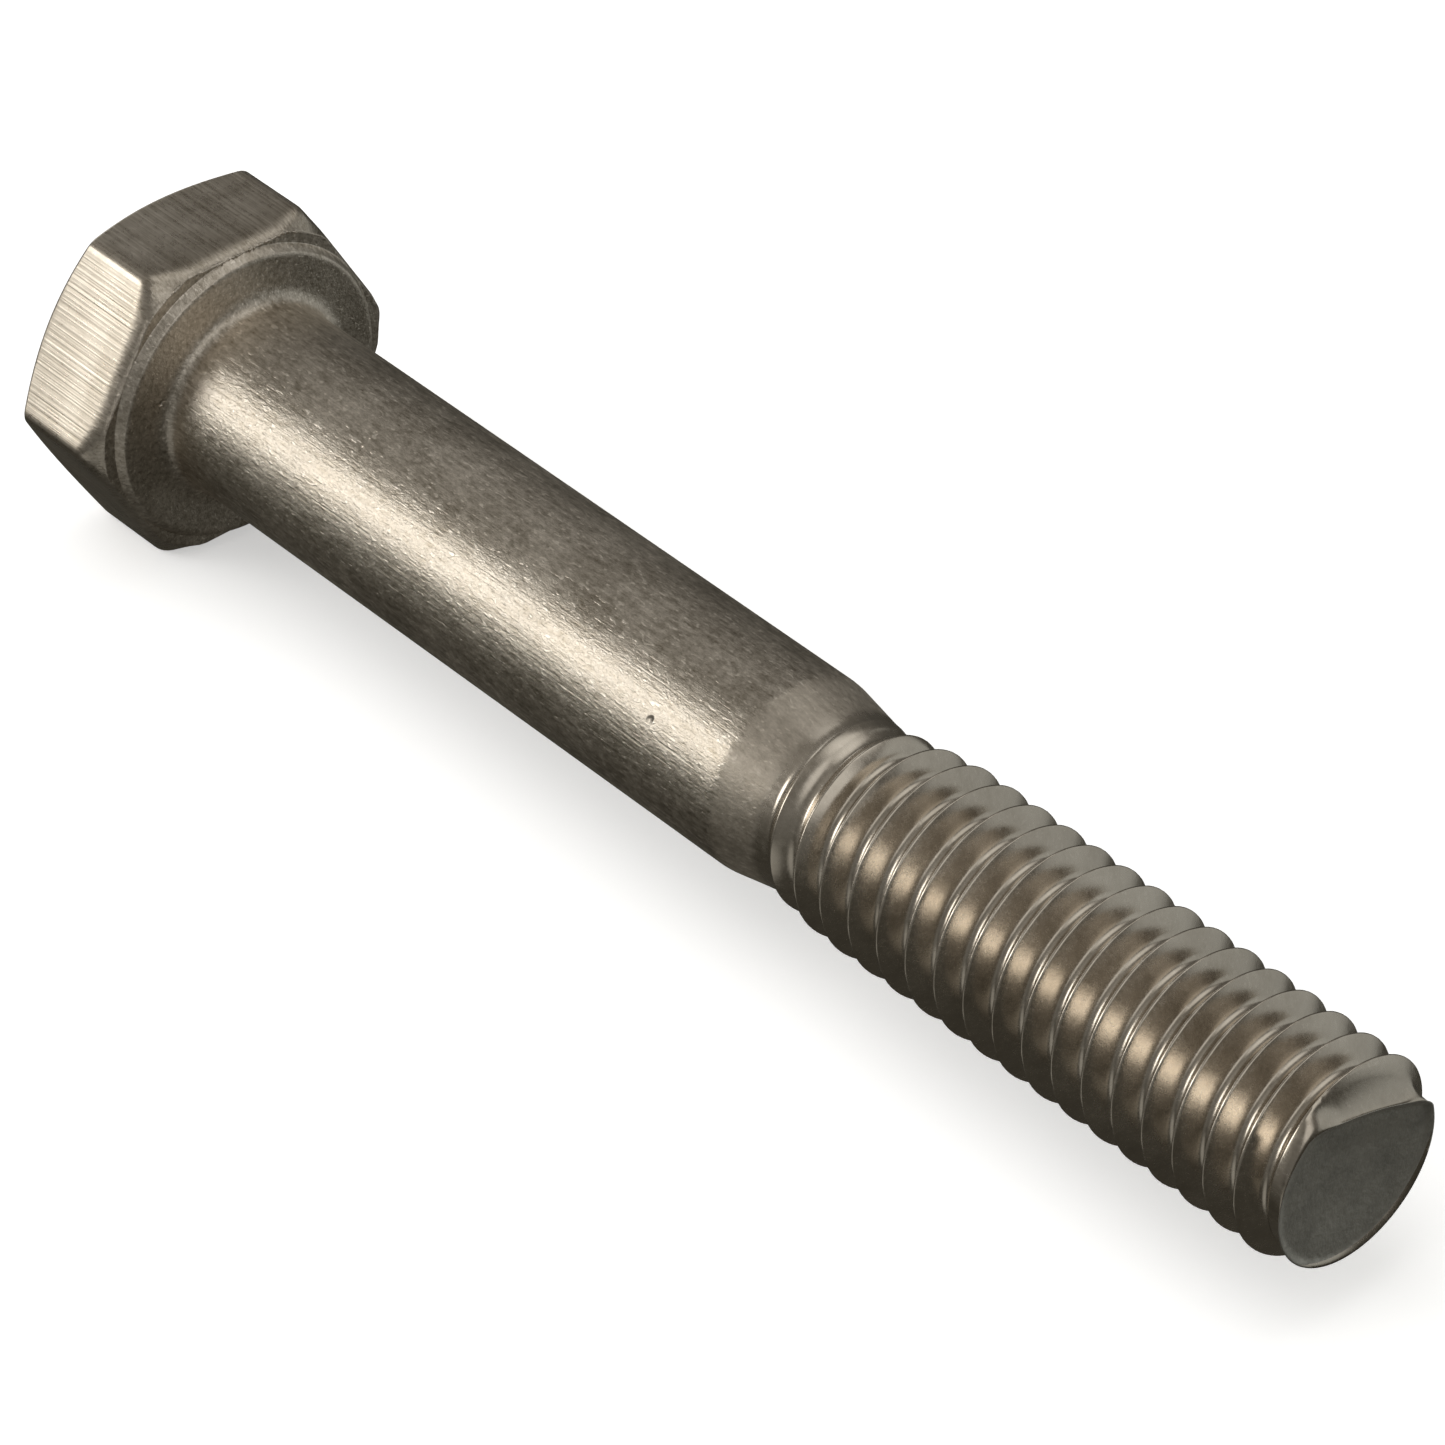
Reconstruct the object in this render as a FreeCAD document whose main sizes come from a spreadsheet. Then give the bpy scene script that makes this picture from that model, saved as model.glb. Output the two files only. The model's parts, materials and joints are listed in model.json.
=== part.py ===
"""Hex-head cap screw, 5/16-18 UNC x 2 1/4 in, in millimetres.

The origin is the centre of the bearing face. +X runs along the shank to the threaded point. +Z is the normal of one
wrench flat, so the bolt lies on the opposite flat. The real fastener is one piece of metal, forged, turned and
thread-rolled, so it is one PartDesign body.
"""

import FreeCAD, Part
import math
import os
import Sketcher

NODE = "hex_bolt"

# Driving dimensions, in millimetres and degrees.
DRIVING = {
    "thread_diameter": 7.92,
    "thread_pitch": 1.411,
    "thread_length": 22.2,
    "body_diameter": 7.79,
    "bolt_length": 57.15,
    "across_flats": 12.46,
    "head_height": 5.16,
    "crown_angle": 30.0,
    "crown_circle": 11.9,
    "corner_radius": 0.55,
    "dub_radius": 6.45,
    "dub_depth": 0.32,
    "washer_thickness": 0.42,
    "washer_diameter": 11.6,
    "washer_bevel": 0.22,
    "neck_fillet": 0.45,
    "taper_start": 30.2,
    "neck_position": 32.2,
    "neck_radius": 3.49,
    "full_crest_position": 34.4,
    "runout_position": 34.645,
    "runout_height": 2.6,
    "runout_angle": 14.0,
    "thread_depth": 0.85,
    "root_flat": 0.2,
    "cutter_clearance": 0.05,
    "point_diameter": 7.2,
    "point_chamfer": 0.45,
    "point_edge_radius": 0.2,
    "dish_radius": 3.1,
    "dish_depth": 0.25,
}

# Dimensions that follow from the driving ones.
DERIVED = {
    "body_radius": "body_diameter / 2",
    "thread_radius": "thread_diameter / 2",
    "washer_radius": "washer_diameter / 2",
    "washer_base_radius": "washer_diameter / 2 + washer_bevel",
    "washer_back": "-washer_thickness",
    "hex_radius": "across_flats / sqrt(3)",
    "hex_half_radius": "across_flats / sqrt(3) / 2",
    "hex_apothem": "across_flats / 2",
    "hex_radius_negative": "-across_flats / sqrt(3)",
    "hex_half_radius_negative": "-across_flats / sqrt(3) / 2",
    "hex_apothem_negative": "-across_flats / 2",
    "hex_height": "head_height - washer_thickness",
    "head_top": "-head_height",
    "head_outside": "-head_height - 1",
    "crown_radius": "crown_circle / 2",
    "crown_reach": "across_flats / sqrt(3) + 1",
    "crown_low": "-head_height + (across_flats / sqrt(3) + 1 - crown_circle / 2) * tan(crown_angle * 1 deg)",
    "dub_low": "-washer_thickness - dub_depth",
    "dub_reach": "across_flats / sqrt(3) + (across_flats / sqrt(3) - dub_radius)",
    "dub_low_reach": "-washer_thickness - 2 * dub_depth",
    "point_radius": "point_diameter / 2",
    "chamfer_start": "bolt_length - point_chamfer",
    "dish_floor": "bolt_length - dish_depth",
    "root_radius": "thread_diameter / 2 - thread_depth",
    "cutter_top": "thread_diameter / 2 + cutter_clearance",
    "cutter_root_left": "runout_position - root_flat / 2",
    "cutter_root_right": "runout_position + root_flat / 2",
    "cutter_left": "runout_position - root_flat / 2 - (thread_depth + cutter_clearance) * tan(30 deg)",
    "cutter_right": "runout_position + root_flat / 2 + (thread_depth + cutter_clearance) * tan(30 deg)",
    "helix_height": "bolt_length - runout_position + 1.5 * thread_pitch",
}


def make_sheet(doc):
    """The spreadsheet that drives every feature: plain numbers first, then formulas."""
    sheet = doc.addObject("Spreadsheet::Sheet", "dims")
    row = 1
    for name, value in DRIVING.items():
        sheet.set(f"A{row}", name)
        sheet.set(f"B{row}", str(value))
        sheet.setAlias(f"B{row}", name)
        row += 1
    for name, formula in DERIVED.items():
        sheet.set(f"A{row}", name)
        sheet.set(f"B{row}", "=" + formula)
        sheet.setAlias(f"B{row}", name)
        row += 1
    doc.recompute()
    return sheet


def origin_feature(body, role):
    return next(f for f in body.Origin.OriginFeatures if f.Role == role)


def value_of(sheet, name):
    """A coordinate given as an alias, or zero for None."""
    return 0.0 if name is None else float(sheet.get(name))


def closed_profile(body, sheet, label, plane, corners):
    """A closed polygon on an origin plane. Each corner is a pair of aliases, and None keeps it on that axis."""
    sketch = body.newObject("Sketcher::SketchObject", label)
    sketch.AttachmentSupport = (origin_feature(body, plane), [""])
    sketch.MapMode = "FlatFace"
    spots = [FreeCAD.Vector(value_of(sheet, a), value_of(sheet, b), 0) for a, b in corners]
    count = len(corners)
    for i in range(count):
        sketch.addGeometry(Part.LineSegment(spots[i], spots[(i + 1) % count]), False)
    for i in range(count):
        sketch.addConstraint(Sketcher.Constraint("Coincident", i, 2, (i + 1) % count, 1))
    for i, (along, across) in enumerate(corners):
        pin_corner(sketch, i, "DistanceX", along, spots[i].x, -2)
        pin_corner(sketch, i, "DistanceY", across, spots[i].y, -1)
    return sketch


def pin_corner(sketch, i, kind, alias, value, axis):
    """Ties one coordinate of a corner to a cell of the sheet, or to the sketch axis where it is zero."""
    if alias is None:
        sketch.addConstraint(Sketcher.Constraint("PointOnObject", i, 1, axis))
        return
    index = sketch.addConstraint(Sketcher.Constraint(kind, -1, 1, i, 1, value))
    name = f"corner{i}_{kind}"
    sketch.renameConstraint(index, name)
    sketch.setExpression(f"Constraints.{name}", f"dims.{alias}")


def turned(body, kind, label, sketch):
    """A revolution or groove of a sketch about the bolt's axis."""
    feature = body.newObject(kind, label)
    feature.Profile = sketch
    feature.ReferenceAxis = (origin_feature(body, "X_Axis"), [""])
    feature.Angle = 360.0
    body.Tip = feature
    return feature


def circle_edges(shape, position, radius):
    """Names of the circular edges about the X axis at one position and radius."""
    names = []
    for i, edge in enumerate(shape.Edges, 1):
        curve = edge.Curve
        if not isinstance(curve, Part.Circle):
            continue
        if abs(curve.Center.x - position) < 1e-4 and abs(curve.Radius - radius) < 1e-4:
            names.append(f"Edge{i}")
    return names


def hex_corner_edges(shape, radius):
    """Names of the straight edges that run along the six corners of the hexagon."""
    names = []
    for i, edge in enumerate(shape.Edges, 1):
        a, b = edge.Vertexes[0].Point, edge.Vertexes[-1].Point
        straight = math.hypot(a.y - b.y, a.z - b.z) < 1e-6 and abs(a.x - b.x) > 1.0
        if straight and abs(math.hypot(a.y, a.z) - radius) < 1e-3:
            names.append(f"Edge{i}")
    return names


def rounded(body, label, base, edges, alias):
    """A constant-radius fillet on named edges of the current tip."""
    fillet = body.newObject("PartDesign::Fillet", label)
    fillet.Base = (base, edges)
    fillet.setExpression("Radius", f"dims.{alias}")
    body.Tip = fillet
    return fillet


def helical_cut(body, label, sketch, height_alias, angle_alias, backwards):
    """A right-hand groove swept along the axis. A cone angle lets it climb out of the metal."""
    cut = body.newObject("PartDesign::SubtractiveHelix", label)
    cut.Profile = sketch
    cut.ReferenceAxis = (origin_feature(body, "X_Axis"), [""])
    cut.Mode = 0
    cut.LeftHanded = False
    cut.Reversed = backwards
    cut.setExpression("Pitch", "dims.thread_pitch")
    cut.setExpression("Height", f"dims.{height_alias}")
    if angle_alias:
        cut.setExpression("Angle", f"dims.{angle_alias}")
    body.Tip = cut
    return cut


def build_bolt(doc, sheet):
    body = doc.addObject("PartDesign::Body", NODE)
    body.Label = NODE
    body.Placement = FreeCAD.Placement()

    # Washer face, shank, taper, thread blank and chamfered point, as one turned profile.
    blank_sketch = closed_profile(
        body,
        sheet,
        "blank_profile",
        "XZ_Plane",
        [
            ("washer_back", None),
            ("washer_back", "washer_base_radius"),
            (None, "washer_radius"),
            (None, "body_radius"),
            ("taper_start", "body_radius"),
            ("neck_position", "neck_radius"),
            ("full_crest_position", "thread_radius"),
            ("chamfer_start", "thread_radius"),
            ("bolt_length", "point_radius"),
            ("bolt_length", "dish_radius"),
            ("dish_floor", None),
        ],
    )
    turned(body, "PartDesign::Revolution", "blank", blank_sketch)

    # Hexagonal head.
    hex_sketch = closed_profile(
        body,
        sheet,
        "hexagon",
        "YZ_Plane",
        [
            ("hex_radius", None),
            ("hex_half_radius", "hex_apothem"),
            ("hex_half_radius_negative", "hex_apothem"),
            ("hex_radius_negative", None),
            ("hex_half_radius_negative", "hex_apothem_negative"),
            ("hex_half_radius", "hex_apothem_negative"),
        ],
    )
    hex_sketch.setExpression("AttachmentOffset.Base.z", "dims.washer_back")
    head = body.newObject("PartDesign::Pad", "hex_head")
    head.Profile = hex_sketch
    head.Reversed = True
    head.setExpression("Length", "dims.hex_height")
    body.Tip = head
    doc.recompute()

    corners = hex_corner_edges(body.Shape, value_of(sheet, "hex_radius"))
    rounded(body, "hex_corners", head, corners, "corner_radius")

    # The 30 degree crown on top of the head.
    crown_sketch = closed_profile(
        body,
        sheet,
        "crown_profile",
        "XZ_Plane",
        [
            ("head_top", "crown_radius"),
            ("head_outside", "crown_radius"),
            ("head_outside", "crown_reach"),
            ("crown_low", "crown_reach"),
        ],
    )
    turned(body, "PartDesign::Groove", "crown", crown_sketch)

    # The corners are eased on the underside too, where the blank is trimmed.
    dub_sketch = closed_profile(
        body,
        sheet,
        "underside_profile",
        "XZ_Plane",
        [
            ("washer_back", "dub_radius"),
            ("dub_low_reach", "dub_reach"),
            ("washer_back", "dub_reach"),
        ],
    )
    dub = turned(body, "PartDesign::Groove", "underside_easing", dub_sketch)
    doc.recompute()

    shank_root = circle_edges(body.Shape, 0.0, value_of(sheet, "body_radius"))
    under_head = rounded(body, "underhead_fillet", dub, shank_root, "neck_fillet")
    doc.recompute()

    rim = circle_edges(body.Shape, value_of(sheet, "bolt_length"), value_of(sheet, "point_radius"))
    rounded(body, "point_edge", under_head, rim, "point_edge_radius")
    doc.recompute()

    # The thread space: flat-rooted 60 degree groove, full depth to past the point, then climbing out to the neck.
    thread_sketch = closed_profile(
        body,
        sheet,
        "thread_space",
        "XZ_Plane",
        [
            ("cutter_left", "cutter_top"),
            ("cutter_root_left", "root_radius"),
            ("cutter_root_right", "root_radius"),
            ("cutter_right", "cutter_top"),
        ],
    )
    helical_cut(body, "thread", thread_sketch, "helix_height", None, False)
    doc.recompute()
    runout_sketch = closed_profile(
        body,
        sheet,
        "runout_space",
        "XZ_Plane",
        [
            ("cutter_left", "cutter_top"),
            ("cutter_root_left", "root_radius"),
            ("cutter_root_right", "root_radius"),
            ("cutter_right", "cutter_top"),
        ],
    )
    helical_cut(body, "thread_runout", runout_sketch, "runout_height", "runout_angle", True)
    doc.recompute()
    return body


def check(doc, body):
    """Stops if a feature failed or the body isn't one valid solid."""
    for item in doc.Objects:
        if "Invalid" in item.State or "Error" in item.State:
            raise RuntimeError(f"{item.Name} failed: {item.State}")
    shape = body.Shape
    if shape.isNull() or not shape.isValid() or len(shape.Solids) != 1:
        raise RuntimeError(f"{body.Name} isn't one valid solid")


def main():
    os.makedirs("parts", exist_ok=True)
    doc = FreeCAD.newDocument("hex_bolt_part")
    sheet = make_sheet(doc)
    body = build_bolt(doc, sheet)
    check(doc, body)
    body.Shape.exportStep(os.path.join("parts", f"{NODE}.step"))
    box = body.Shape.optimalBoundingBox(True, False)
    print(NODE, "volume", round(body.Shape.Volume, 2), "faces", len(body.Shape.Faces))
    print("size", round(box.XLength, 3), round(box.YLength, 3), round(box.ZLength, 3))


main()
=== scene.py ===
"""Looks for the hex bolt: one continuous steel surface, a pale floor and a plain studio."""

import json
import math

import bmesh
import bpy
import numpy as np
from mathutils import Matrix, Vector


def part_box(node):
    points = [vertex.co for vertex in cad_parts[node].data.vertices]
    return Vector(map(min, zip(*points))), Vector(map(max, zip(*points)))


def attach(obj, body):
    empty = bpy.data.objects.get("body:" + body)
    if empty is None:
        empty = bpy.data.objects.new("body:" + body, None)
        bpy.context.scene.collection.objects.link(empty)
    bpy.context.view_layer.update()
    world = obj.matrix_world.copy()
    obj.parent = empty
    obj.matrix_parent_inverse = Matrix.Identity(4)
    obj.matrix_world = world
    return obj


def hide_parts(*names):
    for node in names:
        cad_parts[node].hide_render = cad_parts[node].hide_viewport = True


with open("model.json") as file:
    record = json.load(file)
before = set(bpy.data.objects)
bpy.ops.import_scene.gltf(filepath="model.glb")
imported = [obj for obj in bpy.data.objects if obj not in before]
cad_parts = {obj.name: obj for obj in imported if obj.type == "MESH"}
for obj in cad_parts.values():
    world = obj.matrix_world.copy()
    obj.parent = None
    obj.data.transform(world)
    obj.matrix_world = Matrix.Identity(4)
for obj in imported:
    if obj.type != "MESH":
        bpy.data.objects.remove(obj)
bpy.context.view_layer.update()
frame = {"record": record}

MM = 0.001
low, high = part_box("hex_bolt")
mounts = {m["name"]: m for m in frame["record"]["mounts"]}

# Sizes in millimetres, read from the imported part.
LENGTH = high.x / MM
HEAD_HEIGHT = -low.x / MM
APOTHEM = mounts["wrench_flat_top"]["pos_m"][2] / MM
BODY_R = mounts["shank"]["dims"]["r_mm"]
SHANK_END = mounts["shank"]["pos_m"][0] / MM + mounts["shank"]["dims"]["length_mm"] / 2

# Sizes of the finished surface, in millimetres. Positions along the bolt are distances from the bearing face.
# Thread: crest, root, their roundings, the seam in the crest, and where one crest passes the top of the bolt.
PITCH = 1.411
CREST_R = 3.96
ROOT_R = 3.08
CREST_ROUND = 0.05
ROOT_ROUND = 0.292
SEAM_DEPTH = 0.022
SEAM_HALF = 0.035
CREST_AT = 35.35

# Taper from the shank to the neck, and where the thread starts, grows to its full height and ends.
TAPER_FROM = 29.95
NECK_X = 32.55
NECK_R = 3.42
TAPER_EASING = 0.06
THREAD_FROM = 31.6
RIDGE_CLEAR = 32.5
RIDGE_FULL = 37.0
GROOVE_FROM = 32.2
GROOVE_FULL = 34.2
THREAD_TO = 56.6
LEAN = 0.7
LEAN_TURN = math.radians(41)

# Point: rim radius, the bite that the last groove takes out of the rim, and the dish inside its lip.
POINT_R = 3.58
BITE_FLAT = 2.36
BITE_CURVE = 0.8
BITE_TURN = math.radians(73)
BITE_EASING = 0.5
BITE_FULL = 0.9
BITE_HOLLOW = 1.9
POINT_INSET = 0.02
LIP_DEPTH = 0.1
DISH_DEPTH = 0.13
DISH_RINGS = (0.985, 0.965, 0.945, 0.92, 0.89, 0.85, 0.8, 0.7, 0.58, 0.44, 0.3, 0.15)

# Head: washer face, crown, rounded corners and the dubbed corners under the head.
WASHER = 0.42
WASHER_R = 5.8
WASHER_BASE_R = 6.02
CROWN_R = 5.95
CAP_R = 0.6
CORNER_ROUND = 0.55
CORNER_REACH = math.radians(2.6)
DUB_R = 6.45
DUB_SLOPE = 0.43
UNDER_REACH = 0.42
UNDER_DROP = 0.2
HEAD_SHANK_END = 2.0
EASING_STEPS = 6

# Where the head's columns turn into the shank's: from inside the washer face's edge to outside the shank.
EVENED_FROM = 0.2
EVENED_TO = 0.45

# Burr under the top flat.
BURR_REACH = 3.3
BURR_FADE = 0.4
BURR_RINGS = 190
BURR_SIDES = 6
BURR_SIZE = 0.045
BURR_LEAST = 0.012
BURR_MOST = 0.08

# Mesh columns round the bolt. Corners with the same rounded place are one, and so are those nearer than WELD.
COLUMNS_PER_SIDE = 30
COLUMNS = 6 * COLUMNS_PER_SIDE
PLACES_PER_MM = 1e5
WELD = 0.0001

TURN = 2 * math.pi
SIXTH = math.pi / 3

# Column angles, evenly spaced round the shank. Round the head they gather at the six corners.
EVEN = np.arange(COLUMNS) * TURN / COLUMNS


def head_angles():
    """Column angles with about a third of them inside the rounded corners of the hexagon."""
    half = COLUMNS_PER_SIDE // 2
    near = np.linspace(0, CORNER_REACH, 6)
    far = np.linspace(CORNER_REACH, SIXTH / 2, half - 4)[1:]
    side = np.concatenate([near, far])
    one = np.concatenate([side[:-1], SIXTH - side[::-1][:-1]])
    return np.concatenate([one + k * SIXTH for k in range(6)])


GATHERED = head_angles()


def hexagon_radius(angle):
    """Distance from the axis to the rounded hexagon. Its corners lie at multiples of 60 degrees."""
    from_corner = (angle + SIXTH / 2) % SIXTH - SIXTH / 2
    from_flat = SIXTH / 2 - np.abs(from_corner)
    flat = APOTHEM / np.cos(from_flat)
    centre = (APOTHEM - CORNER_ROUND) / math.cos(SIXTH / 2)
    inside = np.maximum(CORNER_ROUND**2 - (centre * np.sin(from_corner)) ** 2, 0)
    rounded = centre * np.cos(from_corner) + np.sqrt(inside)
    tangent = math.atan2(CORNER_ROUND / 2, centre + CORNER_ROUND * math.cos(SIXTH / 2))
    return np.where(np.abs(from_corner) < tangent, rounded, flat)


def filleted(points, reaches):
    """A polyline with each inner corner eased over its reach before and its reach after the corner."""
    points = [np.array(p, float) for p in points]
    lengths = [np.linalg.norm(b - a) for a, b in zip(points[:-1], points[1:])]
    ahead = [0.0] + [reach[1] for reach in reaches]
    back = [reach[0] for reach in reaches] + [0.0]
    fit = [min(1.0, 0.96 * length / (a + b)) for length, a, b in zip(lengths, ahead, back)]
    path = [points[0]]
    for i in range(1, len(points) - 1):
        here = points[i]
        to_back = (points[i - 1] - here) / lengths[i - 1] * back[i - 1] * fit[i - 1]
        to_ahead = (points[i + 1] - here) / lengths[i] * ahead[i] * fit[i]
        for step in range(EASING_STEPS + 1):
            f = step / EASING_STEPS
            path.append(here + to_back * (1 - f) ** 2 + to_ahead * f**2)
    path.append(points[-1])
    return path


def head_path(side):
    """Meridian of the head at one column, from the top's centre to the shank, as (x, r)."""
    drop = (side - CROWN_R) * math.tan(math.radians(30))
    under = -WASHER - max(0.0, side - DUB_R) * DUB_SLOPE
    points = [
        (-HEAD_HEIGHT, CAP_R),
        (-HEAD_HEIGHT, CROWN_R),
        (-HEAD_HEIGHT + drop, side),
        (under - UNDER_REACH, side),
        (-WASHER, min(DUB_R, side - UNDER_DROP)),
        (-WASHER, WASHER_BASE_R),
        (0.0, WASHER_R),
        (0.0, BODY_R),
        (HEAD_SHANK_END, BODY_R),
    ]
    # How far the rounding of each inner corner reaches before and after it.
    easing = [(0.2, 0.2), (0.1, 0.1), (0.4, 0.4), (0.04, 0.03), (0.03, 0.05), (0.1, 0.2), (0.7, 0.6)]
    return filleted(points, easing)


def smooth_step(x, a, b):
    """Rises smoothly from 0 at a to 1 at b."""
    f = np.clip((x - a) / (b - a), 0, 1)
    return f * f * (3 - 2 * f)


def soft_min(a, b, width):
    """The lower of two heights with a rounded seam."""
    h = np.clip(0.5 + 0.5 * (b - a) / width, 0, 1)
    return b + (a - b) * h - width * h * (1 - h)


def thread_profile(offset, turns):
    """Radius of the full thread at a distance from the nearest crest: crest arc, 30 degree flank, root arc.

    The crest has the shallow uneven seam of a rolled thread.
    """
    d = np.abs(offset)
    half = PITCH / 2
    cos30 = math.cos(math.radians(30))
    uneven = 0.5 + 0.3 * np.sin(11 * turns) + 0.3 * np.sin(29 * turns + 1.3) + 0.2 * np.sin(73 * turns)
    seam = SEAM_DEPTH * np.clip(uneven, 0, 1) * (1 - smooth_step(d, 0, SEAM_HALF))
    crest_arc = CREST_R - CREST_ROUND + np.sqrt(np.maximum(CREST_ROUND**2 - d**2, 0)) - seam
    from_root = half - d
    root_arc = ROOT_R + ROOT_ROUND - np.sqrt(np.maximum(ROOT_ROUND**2 - from_root**2, 0))
    flank = CREST_R - CREST_ROUND / 2 - (d - CREST_ROUND * cos30) * math.sqrt(3)
    return np.where(
        d < CREST_ROUND * cos30, crest_arc, np.where(from_root < ROOT_ROUND * cos30, root_arc, flank)
    )


def blank_radius(x):
    """The turned blank: shank, straight taper and neck."""
    taper = BODY_R - (BODY_R - NECK_R) * (x - TAPER_FROM) / (NECK_X - TAPER_FROM)
    return np.maximum(soft_min(np.full_like(x, BODY_R), taper, TAPER_EASING), NECK_R)


def shaft_radius(x, angle):
    """Radius of the shaft with its thread, which grows to full height over the first turns."""
    crest = CREST_AT + PITCH * (angle - math.radians(90)) / TURN
    turns = TURN * (x - CREST_AT) / PITCH
    offset = (x - crest + PITCH / 2) % PITCH - PITCH / 2
    blank = blank_radius(x)
    lift = thread_profile(offset, turns) - blank
    # The ridges rise sooner on the side away from LEAN_TURN.
    lean = LEAN * (1 - np.cos(angle - LEAN_TURN))
    ridge = smooth_step(x + lean, THREAD_FROM, RIDGE_FULL) * smooth_step(x, THREAD_FROM, RIDGE_CLEAR)
    groove = smooth_step(x, GROOVE_FROM, GROOVE_FULL)
    return blank + lift * np.where(lift > 0, ridge, groove)


def head_rings():
    """Rings of the head, from the top's centre outwards and down to the shank.

    Across the bearing face the columns turn from the gathered to the even angles.
    """
    paths = np.array([head_path(side) for side in hexagon_radius(GATHERED)])
    rings = []
    for k in range(paths.shape[1]):
        x, r = paths[:, k, 0], paths[:, k, 1]
        on_face = x.mean() > -0.01
        evened = smooth_step(-r, EVENED_FROM - WASHER_R, -BODY_R - EVENED_TO) if on_face else 0.0
        angle = GATHERED + (EVEN - GATHERED) * evened
        rings.append((x, r, angle))
    return rings


def even_ring(x, r):
    """A ring at one place along the bolt, with a radius for each column."""
    return np.full(COLUMNS, x), r, EVEN


def shank_rings():
    """Rings of the plain shank and the taper. They are closer together on the taper."""
    plain = np.linspace(4, SHANK_END - 1, 12)
    taper = np.linspace(SHANK_END - 0.6, THREAD_FROM, 12)
    return [even_ring(x, blank_radius(np.full(COLUMNS, x))) for x in (*plain, *taper)]


def point_rings():
    """Rings of the rounded rim at the free end. The last groove cuts a bite out of it."""
    chord = BITE_FLAT / np.maximum(np.cos(EVEN - BITE_TURN), 0.1) ** BITE_CURVE
    edge = soft_min(np.full(COLUMNS, POINT_R), chord, BITE_EASING)
    bite = smooth_step(POINT_R - edge, 0.0, BITE_FULL)
    start = shaft_radius(np.full(COLUMNS, THREAD_TO), EVEN)
    rings = []
    for f in np.linspace(0.1, 1, 9):
        along = math.sin(f * math.pi / 2)
        rounded = math.cos(f * math.pi / 2)
        share = rounded + ((1 - along) ** BITE_HOLLOW - rounded) * bite
        x = THREAD_TO + (LENGTH - POINT_INSET - THREAD_TO) * along
        rings.append(even_ring(x, edge + (start - edge) * share))
    return rings


def face_rings():
    """Rings of the dished end face, from the rim inwards."""
    rim_x, edge, _ = point_rings()[-1]
    rings = [(rim_x, edge, EVEN)]
    for f in DISH_RINGS:
        dish = LIP_DEPTH * smooth_step(1 - f, 0.0, 0.1) + DISH_DEPTH * (1 - smooth_step(f, 0.3, 0.95))
        rings.append((rim_x - dish, edge * f, EVEN))
    return rings


def on_ring(x, r, angle):
    """Corner coordinates from positions along the bolt, radii and angles."""
    return np.stack([x, r * np.cos(angle), r * np.sin(angle)], axis=-1)


def ring_quads(rings):
    """Quads between neighbouring rings, as corner coordinates."""
    quads = []
    for a, b in zip(rings[:-1], rings[1:]):
        pa, pb = on_ring(*a), on_ring(*b)
        qa, qb = np.roll(pa, -1, axis=0), np.roll(pb, -1, axis=0)
        quads.append(np.stack([pa, qa, qb, pb], axis=1))
    return np.concatenate(quads)


def thread_quads():
    """Quads that follow the helix, so each crest and root is one unbroken line of vertices.

    The rows of one pitch are closest together at its two ends and in its middle. After one turn a row ends
    where the same row of the next pitch starts.
    """
    steps = np.array([0, 0.015, 0.03, 0.045, 0.06, 0.09, 0.17, 0.25, 0.31, 0.355, 0.4, 0.435, 0.47])
    lines = np.concatenate([steps, 1 - steps[::-1][:-1]])
    count = len(lines)
    start = CREST_AT - PITCH / 4
    first = math.floor((THREAD_FROM - PITCH - start) / PITCH) - 1
    last = math.ceil((THREAD_TO - start) / PITCH) + 1
    rows = np.concatenate([start + (n + lines) * PITCH for n in range(first, last + 1)])
    turn = np.append(EVEN, TURN)
    x = np.clip(rows[:, None] + PITCH * turn[None, :] / TURN, THREAD_FROM, THREAD_TO)
    angle = np.broadcast_to(turn, x.shape)
    spots = on_ring(x, shaft_radius(x, angle), angle)
    usable = len(rows) - count
    a, b = spots[:usable, :-1], spots[:usable, 1:]
    c, d = spots[1 : usable + 1, 1:], spots[1 : usable + 1, :-1]
    return np.stack([a, b, c, d], axis=2).reshape(-1, 4, 3)


def burr_quads():
    """Ragged trimming burr along the under edge of the top flat."""
    chance = np.random.default_rng(11)

    def wander(width):
        """Random waviness along the burr, smoothed over a number of rings."""
        kernel = np.hanning(width + 2)[1:-1]
        return np.convolve(chance.standard_normal(BURR_RINGS), kernel / np.linalg.norm(kernel), mode="same")

    y = np.linspace(-BURR_REACH, BURR_REACH, BURR_RINGS)
    ends = np.clip((BURR_REACH - np.abs(y)) / BURR_FADE, 0, 1)
    size = np.clip(BURR_SIZE + 0.03 * wander(2) + 0.02 * wander(14), BURR_LEAST, BURR_MOST) * ends
    x = -WASHER + 0.006 * wander(5)
    z = np.minimum(APOTHEM - UNDER_DROP, np.sqrt(DUB_R**2 - y**2)) + 0.006 * wander(3)
    around = np.arange(BURR_SIDES) * TURN / BURR_SIDES
    rings = np.stack(
        [
            x[:, None] + size[:, None] * np.cos(around),
            np.broadcast_to(y[:, None], (BURR_RINGS, BURR_SIDES)),
            z[:, None] + size[:, None] * np.sin(around),
        ],
        axis=-1,
    )
    after = np.roll(rings, -1, axis=1)
    return np.stack([rings[:-1], after[:-1], after[1:], rings[1:]], axis=2).reshape(-1, 4, 3)


def cap_triangles(ring, centre_x):
    """Triangles from a ring to a point on the axis."""
    spots = on_ring(*ring)
    after = np.roll(spots, -1, axis=0)
    centre = np.broadcast_to([centre_x, 0.0, 0.0], spots.shape)
    return np.stack([spots, after, centre], axis=1)


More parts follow.
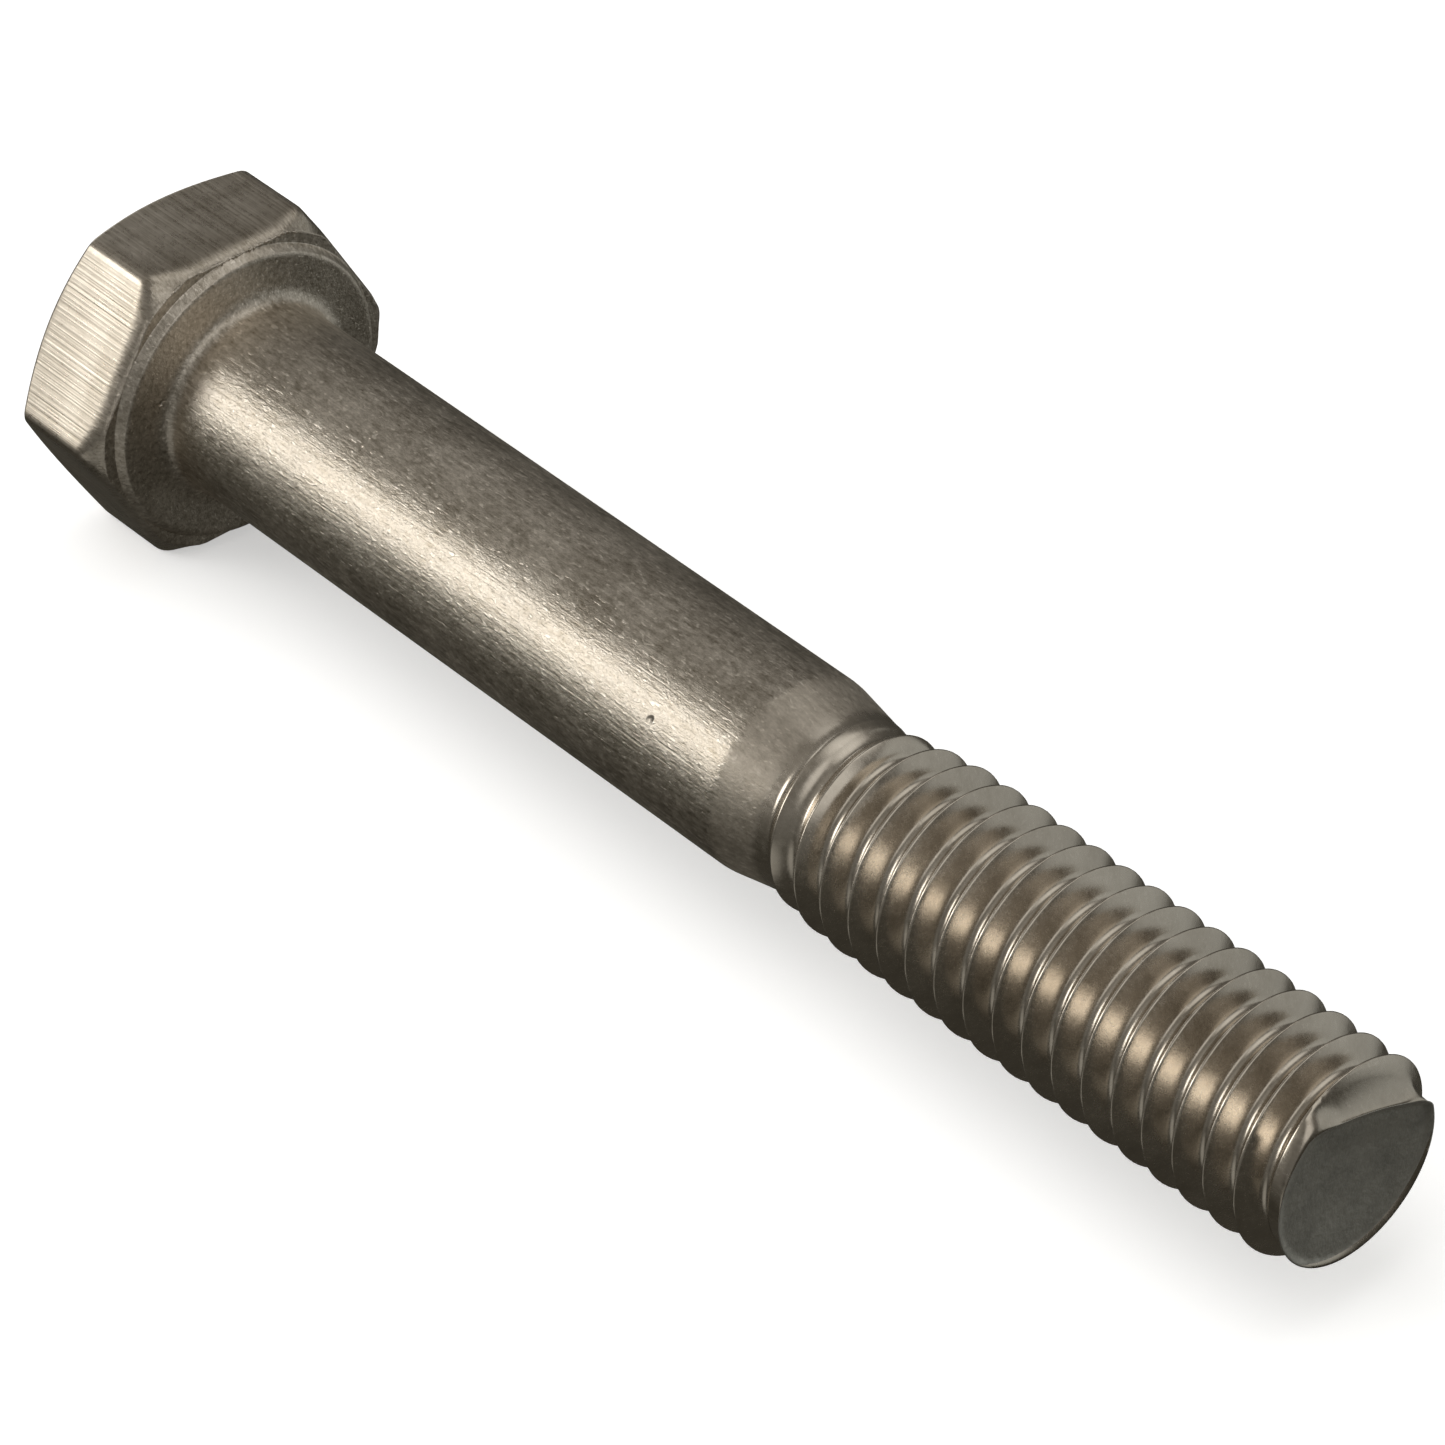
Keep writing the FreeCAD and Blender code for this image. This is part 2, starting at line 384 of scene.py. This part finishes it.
def merged_mesh(name, finishes):
    """One mesh from a list of polygon groups for each finish. Corners at the same place become one vertex."""
    groups = [g for finish in finishes for g in finish]
    finish_of = [k for k, finish in enumerate(finishes) for g in finish]
    corners = np.concatenate([g.reshape(-1, 3) for g in groups])
    keys = np.round(corners * PLACES_PER_MM).astype(np.int64)
    _, first, index = np.unique(keys, axis=0, return_index=True, return_inverse=True)
    index = index.ravel()
    faces, finish_index, at = [], [], 0
    for group, finish in zip(groups, finish_of):
        size = group.shape[1]
        for row in index[at : at + len(group) * size].reshape(-1, size):
            face = list(dict.fromkeys(row.tolist()))
            if len(face) > 2:
                faces.append(face)
                finish_index.append(finish)
        at += len(group) * size
    mesh = bpy.data.meshes.new(name)
    mesh.from_pydata((corners[first] * MM).tolist(), [], faces)
    mesh.polygons.foreach_set("material_index", finish_index)
    mesh.validate()
    mesh.shade_smooth()
    return mesh


def outward(mesh):
    """Closes the last seams and turns every face outwards."""
    bm = bmesh.new()
    bm.from_mesh(mesh)
    bmesh.ops.remove_doubles(bm, verts=bm.verts, dist=WELD * MM)
    bmesh.ops.recalc_face_normals(bm, faces=bm.faces)
    bm.to_mesh(mesh)
    bm.free()


head = head_rings()
face = face_rings()
thread_end = even_ring(THREAD_TO, shaft_radius(np.full(COLUMNS, THREAD_TO), EVEN))
satin = [
    cap_triangles(head[0], -HEAD_HEIGHT),
    ring_quads(head + shank_rings()),
    thread_quads(),
    ring_quads([thread_end] + point_rings()),
    burr_quads(),
]
dull = [ring_quads(face), cap_triangles(face[-1], face[-1][0][0])]
bolt = bpy.data.objects.new("hex_bolt_surface", merged_mesh("hex_bolt_surface", [satin, dull]))
bpy.context.scene.collection.objects.link(bolt)
outward(bolt.data)


# Depth of the bumps for a height of 1, in metres.
BUMP_DEPTH = 0.00003


class Nodes:
    """Small helper that adds and links shader nodes in one tree."""

    def __init__(self, tree):
        self.tree = tree

    def add(self, kind, **settings):
        """A new node, with its attributes set."""
        node = self.tree.nodes.new(kind)
        for name, value in settings.items():
            setattr(node, name, value)
        return node

    def link(self, out, into):
        """Joins an output socket to an input socket."""
        self.tree.links.new(out, into)

    def noise(self, place, stretch, scale, detail, roughness=0.5):
        """Noise in object space, stretched along the bolt by the ratio of its scales."""
        mapping = self.add("ShaderNodeMapping")
        mapping.inputs["Scale"].default_value = stretch
        self.link(place, mapping.inputs["Vector"])
        texture = self.add("ShaderNodeTexNoise")
        texture.inputs["Scale"].default_value = scale
        texture.inputs["Detail"].default_value = detail
        texture.inputs["Roughness"].default_value = roughness
        self.link(mapping.outputs["Vector"], texture.inputs["Vector"])
        return texture.outputs["Fac"]

    def spread(self, value, from_low, from_high, to_low, to_high, smooth=False):
        """A value carried from one range to another, clamped."""
        node = self.add("ShaderNodeMapRange")
        node.interpolation_type = "SMOOTHSTEP" if smooth else "LINEAR"
        node.inputs["From Min"].default_value = from_low
        node.inputs["From Max"].default_value = from_high
        node.inputs["To Min"].default_value = to_low
        node.inputs["To Max"].default_value = to_high
        self.link(value, node.inputs["Value"])
        return node.outputs["Result"]

    def math(self, operation, a, b):
        """The result of one operation on two values, each a number or an output socket."""
        node = self.add("ShaderNodeMath", operation=operation)
        for socket, value in zip(node.inputs, (a, b)):
            if isinstance(value, (int, float)):
                socket.default_value = value
            else:
                self.link(value, socket)
        return node.outputs["Value"]

    def ramp(self, value, stops):
        """A colour picked from stops of position and colour."""
        node = self.add("ShaderNodeValToRGB")
        elements = node.color_ramp.elements
        while len(elements) < len(stops):
            elements.new(0.5)
        for element, (position, colour) in zip(elements, stops):
            element.position = position
            element.color = (*colour, 1)
        self.link(value, node.inputs["Fac"])
        return node.outputs["Color"]

    def bump(self, height, shader):
        """Bumps a shader's normal by a height of up to BUMP_DEPTH."""
        node = self.add("ShaderNodeBump")
        node.inputs["Strength"].default_value = 1.0
        node.inputs["Distance"].default_value = BUMP_DEPTH
        self.link(height, node.inputs["Height"])
        self.link(node.outputs["Normal"], shader.inputs["Normal"])


# Small dents in the steel: place and radius, in millimetres.
NICKS = [
    ((26.3, -3.32, 2.03), 0.2),
    ((26.36, -3.27, 2.11), 0.13),
    ((30.6, -3.26, 2.14), 0.12),
    ((0.0, -4.15, 1.58), 0.12),
    ((8.97, -1.9, 3.4), 0.14),
    ((8.94, -1.55, 3.57), 0.12),
    ((8.93, -1.2, 3.71), 0.14),
    ((21.5, 2.1, -3.28), 0.2),
    ((14.2, 3.4, 1.9), 0.15),
]


def steel_material():
    """Satin stainless steel, scratched on the shank, brushed on the flats and smoother on the thread."""
    steel = bpy.data.materials.new("steel")
    steel.use_nodes = True
    n = Nodes(steel.node_tree)
    shader = steel.node_tree.nodes["Principled BSDF"]
    shader.inputs["Metallic"].default_value = 1.0
    place = n.add("ShaderNodeTexCoord").outputs["Object"]
    apart = n.add("ShaderNodeSeparateXYZ")
    n.link(place, apart.inputs["Vector"])
    along = apart.outputs["X"]

    # Where each finish is, from 0 to 1.
    threaded = n.spread(along, THREAD_FROM * MM, GROOVE_FROM * MM, 0, 1, smooth=True)
    on_head = n.spread(along, -0.6 * MM, -0.4 * MM, 1, 0, smooth=True)
    on_shank = n.math("SUBTRACT", 1.0, n.math("ADD", threaded, on_head))
    tapered = n.spread(along, (TAPER_FROM - 0.1) * MM, (TAPER_FROM + 0.3) * MM, 0, 1, smooth=True)
    tapered = n.math("MULTIPLY", tapered, n.math("SUBTRACT", 1.0, threaded))
    worn = n.math("SUBTRACT", on_shank, n.math("MULTIPLY", tapered, 0.55))
    on_flats = n.math("MULTIPLY", on_head, n.spread(along, -5.05 * MM, -4.7 * MM, 0.1, 1, smooth=True))

    # Noises, finer across the bolt than along it.
    grain = n.noise(place, (0.06, 1, 1), 5500, 3, 0.75)
    speckle = n.noise(place, (0.5, 1, 1), 4600, 4, 0.8)
    grit = n.noise(place, (0.7, 1, 1), 9500, 2, 0.7)
    mottle = n.noise(place, (0.6, 1, 1), 420, 4, 0.6)
    scratch = n.spread(n.noise(place, (0.035, 1, 1), 5200, 2, 0.5), 0.67, 0.73, 0, 1)
    brushing = n.noise(place, (0.003, 1, 1), 10500, 2, 0.6)
    chatter = n.noise(place, (1, 0.1, 0.1), 900, 1, 0.4)
    rare = n.noise(place, (0.45, 1, 1), 6500, 1, 0.5)

    # Colour: darker and lighter specks, painted highlight glints, brushing and clouds round a warm grey.
    # Painted highlight: sparse bright glints painted into the base colour, with fewer, fainter darker specks.
    # The same spots also shape the bump.
    painted_glints_and_dark_specks = n.math("SUBTRACT", n.spread(rare, 0.62, 0.72, 0, 1), n.spread(rare, 0.32, 0.24, 0, 0.35))
    loose = n.math("ADD", n.spread(speckle, 0.3, 0.7, -0.36, 0.36), n.spread(grain, 0.3, 0.7, -0.14, 0.14))
    loose = n.math("ADD", loose, n.math("MULTIPLY", painted_glints_and_dark_specks, 0.45))
    shade = n.math("MULTIPLY", loose, n.spread(worn, 0, 1, 0.2, 1.0))
    shade = n.math("ADD", shade, n.spread(mottle, 0.3, 0.7, -0.15, 0.15))
    shade = n.math("ADD", shade, n.math("MULTIPLY", on_flats, n.spread(brushing, 0.3, 0.7, -0.2, 0.2)))
    shade = n.math("ADD", shade, n.math("MULTIPLY", on_flats, n.spread(chatter, 0.35, 0.65, -0.09, 0.09)))
    shade = n.math("SUBTRACT", shade, n.math("MULTIPLY", on_head, 0.07))
    tint = n.ramp(n.spread(shade, -0.5, 0.5, 0, 1), [(0.0, (0.31, 0.265, 0.205)), (1.0, (0.92, 0.845, 0.75))])
    n.link(tint, shader.inputs["Base Color"])

    # Roughness.
    rough = n.spread(speckle, 0.3, 0.7, 0.30, 0.44)
    rough = n.math("ADD", rough, n.spread(mottle, 0.3, 0.7, -0.04, 0.04))
    rough = n.math("SUBTRACT", rough, n.math("MULTIPLY", threaded, 0.14))
    rough = n.math("SUBTRACT", rough, n.math("MULTIPLY", on_head, 0.06))
    rough = n.math("ADD", rough, n.math("MULTIPLY", tapered, 0.1))
    n.link(rough, shader.inputs["Roughness"])

    # Height for the bump, in units of its distance.
    height = n.math("ADD", n.math("MULTIPLY", grain, 0.6), n.math("MULTIPLY", speckle, 0.5))
    height = n.math("ADD", height, n.math("MULTIPLY", grit, 0.5))
    height = n.math("SUBTRACT", height, n.math("MULTIPLY", scratch, 0.16))
    height = n.math("ADD", height, n.math("MULTIPLY", painted_glints_and_dark_specks, 0.2))
    height = n.math("MULTIPLY", height, n.spread(worn, 0, 1, 0.08, 1.0))
    for spot, radius in NICKS:
        away = n.add("ShaderNodeVectorMath", operation="DISTANCE")
        n.link(place, away.inputs[0])
        away.inputs[1].default_value = Vector(spot) * MM
        dent = n.spread(away.outputs["Value"], 0.1 * radius * MM, radius * MM, 1.1, 0, smooth=True)
        height = n.math("SUBTRACT", height, dent)
    brushed = n.math("MULTIPLY", on_flats, n.math("MULTIPLY", brushing, 0.45))
    n.bump(n.math("ADD", height, brushed), shader)
    return steel


def dull_material():
    """The sheared end face: dull, mottled and a little darker."""
    dull = bpy.data.materials.new("dull_steel")
    dull.use_nodes = True
    n = Nodes(dull.node_tree)
    shader = dull.node_tree.nodes["Principled BSDF"]
    shader.inputs["Metallic"].default_value = 1.0
    place = n.add("ShaderNodeTexCoord").outputs["Object"]
    cloud = n.noise(place, (1, 1, 1), 700, 5, 0.65)
    tint = n.ramp(cloud, [(0.3, (0.40, 0.39, 0.355)), (0.7, (0.78, 0.765, 0.71))])
    n.link(tint, shader.inputs["Base Color"])
    n.link(n.spread(cloud, 0.3, 0.7, 0.62, 0.45), shader.inputs["Roughness"])
    n.bump(n.noise(place, (1, 1, 1), 4000, 4, 0.6), shader)
    return dull


bolt.data.materials.append(steel_material())
bolt.data.materials.append(dull_material())
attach(bolt, "root")
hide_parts("hex_bolt")


def emission_material(name, strength):
    """A plain white glow."""
    material = bpy.data.materials.new(name)
    material.use_nodes = True
    tree = material.node_tree
    tree.nodes.clear()
    glow = tree.nodes.new("ShaderNodeEmission")
    glow.inputs["Color"].default_value = (1, 1, 1, 1)
    glow.inputs["Strength"].default_value = strength
    out = tree.nodes.new("ShaderNodeOutputMaterial")
    tree.links.new(glow.outputs["Emission"], out.inputs["Surface"])
    return material


def studio_floor():
    """A pale floor under the bolt and a pale dome behind it that only the camera sees."""
    bpy.ops.mesh.primitive_circle_add(vertices=96, radius=1.5, fill_type="NGON", location=(0, 0, low.z))
    floor = bpy.context.object
    floor.name = "floor"
    pale = bpy.data.materials.new("pale_floor")
    pale.use_nodes = True
    coat = pale.node_tree.nodes["Principled BSDF"]
    coat.inputs["Base Color"].default_value = (0.9, 0.9, 0.9, 1)
    coat.inputs["Roughness"].default_value = 0.95
    coat.inputs["Specular IOR Level"].default_value = 0.1
    coat.inputs["Emission Color"].default_value = (1, 1, 1, 1)
    coat.inputs["Emission Strength"].default_value = 0.45
    floor.data.materials.append(pale)
    floor.visible_glossy = False
    bpy.ops.mesh.primitive_uv_sphere_add(segments=96, ring_count=48, radius=1.6)
    dome = bpy.context.object
    dome.name = "dome"
    dome.data.materials.append(emission_material("pale_dome", 0.86))
    dome.visible_glossy = False
    dome.visible_diffuse = False
    dome.visible_shadow = False


def floor_light():
    """Broad light that brightens the floor and is not mirrored by the steel."""
    sun = bpy.data.lights.new("floor_light", "SUN")
    sun.energy = 1.4
    sun.angle = math.radians(70)
    lamp = bpy.data.objects.new("floor_light", sun)
    bpy.context.scene.collection.objects.link(lamp)
    lamp.rotation_euler = (math.radians(20), math.radians(-15), 0)
    lamp.visible_glossy = False


# Soft panels round the bolt: direction, angle to the full part, angle to the edge, strength and colour.
PANELS = [
    ((-0.60, -0.72, 0.345), 6, 18.5, 3.5, (1.0, 0.985, 0.94)),
    ((-0.60, -0.70, 0.40), 12, 60, 0.13, (1.0, 0.98, 0.92)),
    ((-0.91, 0.27, 0.31), 8, 18, 1.0, (1.0, 1.0, 0.97)),
    ((0.42, 0.90, 0.02), 26, 36, 0.34, (0.96, 1.0, 0.98)),
    ((0.65, -0.72, 0.15), 15, 40, 0.08, (1.0, 1.0, 0.95)),
    ((0.20, -0.80, -0.55), 8, 26, 0.3, (1.0, 1.0, 0.95)),
    ((0.10, 0.42, 0.90), 12, 32, 0.6, (1.0, 1.0, 0.97)),
    ((0.75, -0.15, 0.62), 14, 34, 0.6, (1.0, 1.0, 0.97)),
]


def studio_world():
    """Soft surroundings: dark below, dim at eye level, lighter overhead, with a few soft panels."""
    world = bpy.data.worlds.new("studio")
    bpy.context.scene.world = world
    world.use_nodes = True
    n = Nodes(world.node_tree)
    direction = n.add("ShaderNodeTexCoord").outputs["Generated"]
    apart = n.add("ShaderNodeSeparateXYZ")
    n.link(direction, apart.inputs["Vector"])
    level = n.spread(apart.outputs["Z"], -1, 1, 0, 1)
    colour = n.ramp(
        level,
        [
            (0.0, (0.052, 0.049, 0.041)),
            (0.35, (0.056, 0.053, 0.044)),
            (0.55, (0.088, 0.085, 0.077)),
            (0.8, (0.155, 0.148, 0.135)),
            (1.0, (0.21, 0.20, 0.18)),
        ],
    )
    surroundings = world.node_tree.nodes["Background"]
    n.link(colour, surroundings.inputs["Color"])
    light = surroundings.outputs["Background"]
    for aim, full, edge, strength, tint in PANELS:
        along = n.add("ShaderNodeVectorMath", operation="DOT_PRODUCT")
        n.link(direction, along.inputs[0])
        along.inputs[1].default_value = Vector(aim).normalized()
        panel = n.add("ShaderNodeBackground")
        panel.inputs["Color"].default_value = (*tint, 1)
        outer, inner = (math.cos(math.radians(angle)) for angle in (edge, full))
        reach = n.spread(along.outputs["Value"], outer, inner, 0, strength, smooth=True)
        n.link(reach, panel.inputs["Strength"])
        both = n.add("ShaderNodeAddShader")
        n.link(light, both.inputs[0])
        n.link(panel.outputs["Background"], both.inputs[1])
        light = both.outputs["Shader"]
    n.link(light, world.node_tree.nodes["World Output"].inputs["Surface"])


studio_floor()
floor_light()
studio_world()

# Camera, fitted to the photograph. Its lens and sensor are in millimetres, and its place and aim in metres.
CAMERA_AT = (0.16785, -0.12536, 0.15043)
CAMERA_AIM = (-0.58603, 0.5191, -0.62218)
camera = bpy.data.cameras.new("camera")
camera.sensor_width = 36.0
camera.lens = 173.0143
eye = bpy.data.objects.new("camera", camera)
bpy.context.scene.collection.objects.link(eye)
eye.location = CAMERA_AT
eye.rotation_euler = Vector(CAMERA_AIM).to_track_quat("-Z", "Y").to_euler()
camera.clip_start = 0.01
camera.clip_end = 10
bpy.context.scene.camera = eye
bpy.context.scene.view_settings.view_transform = "Standard"
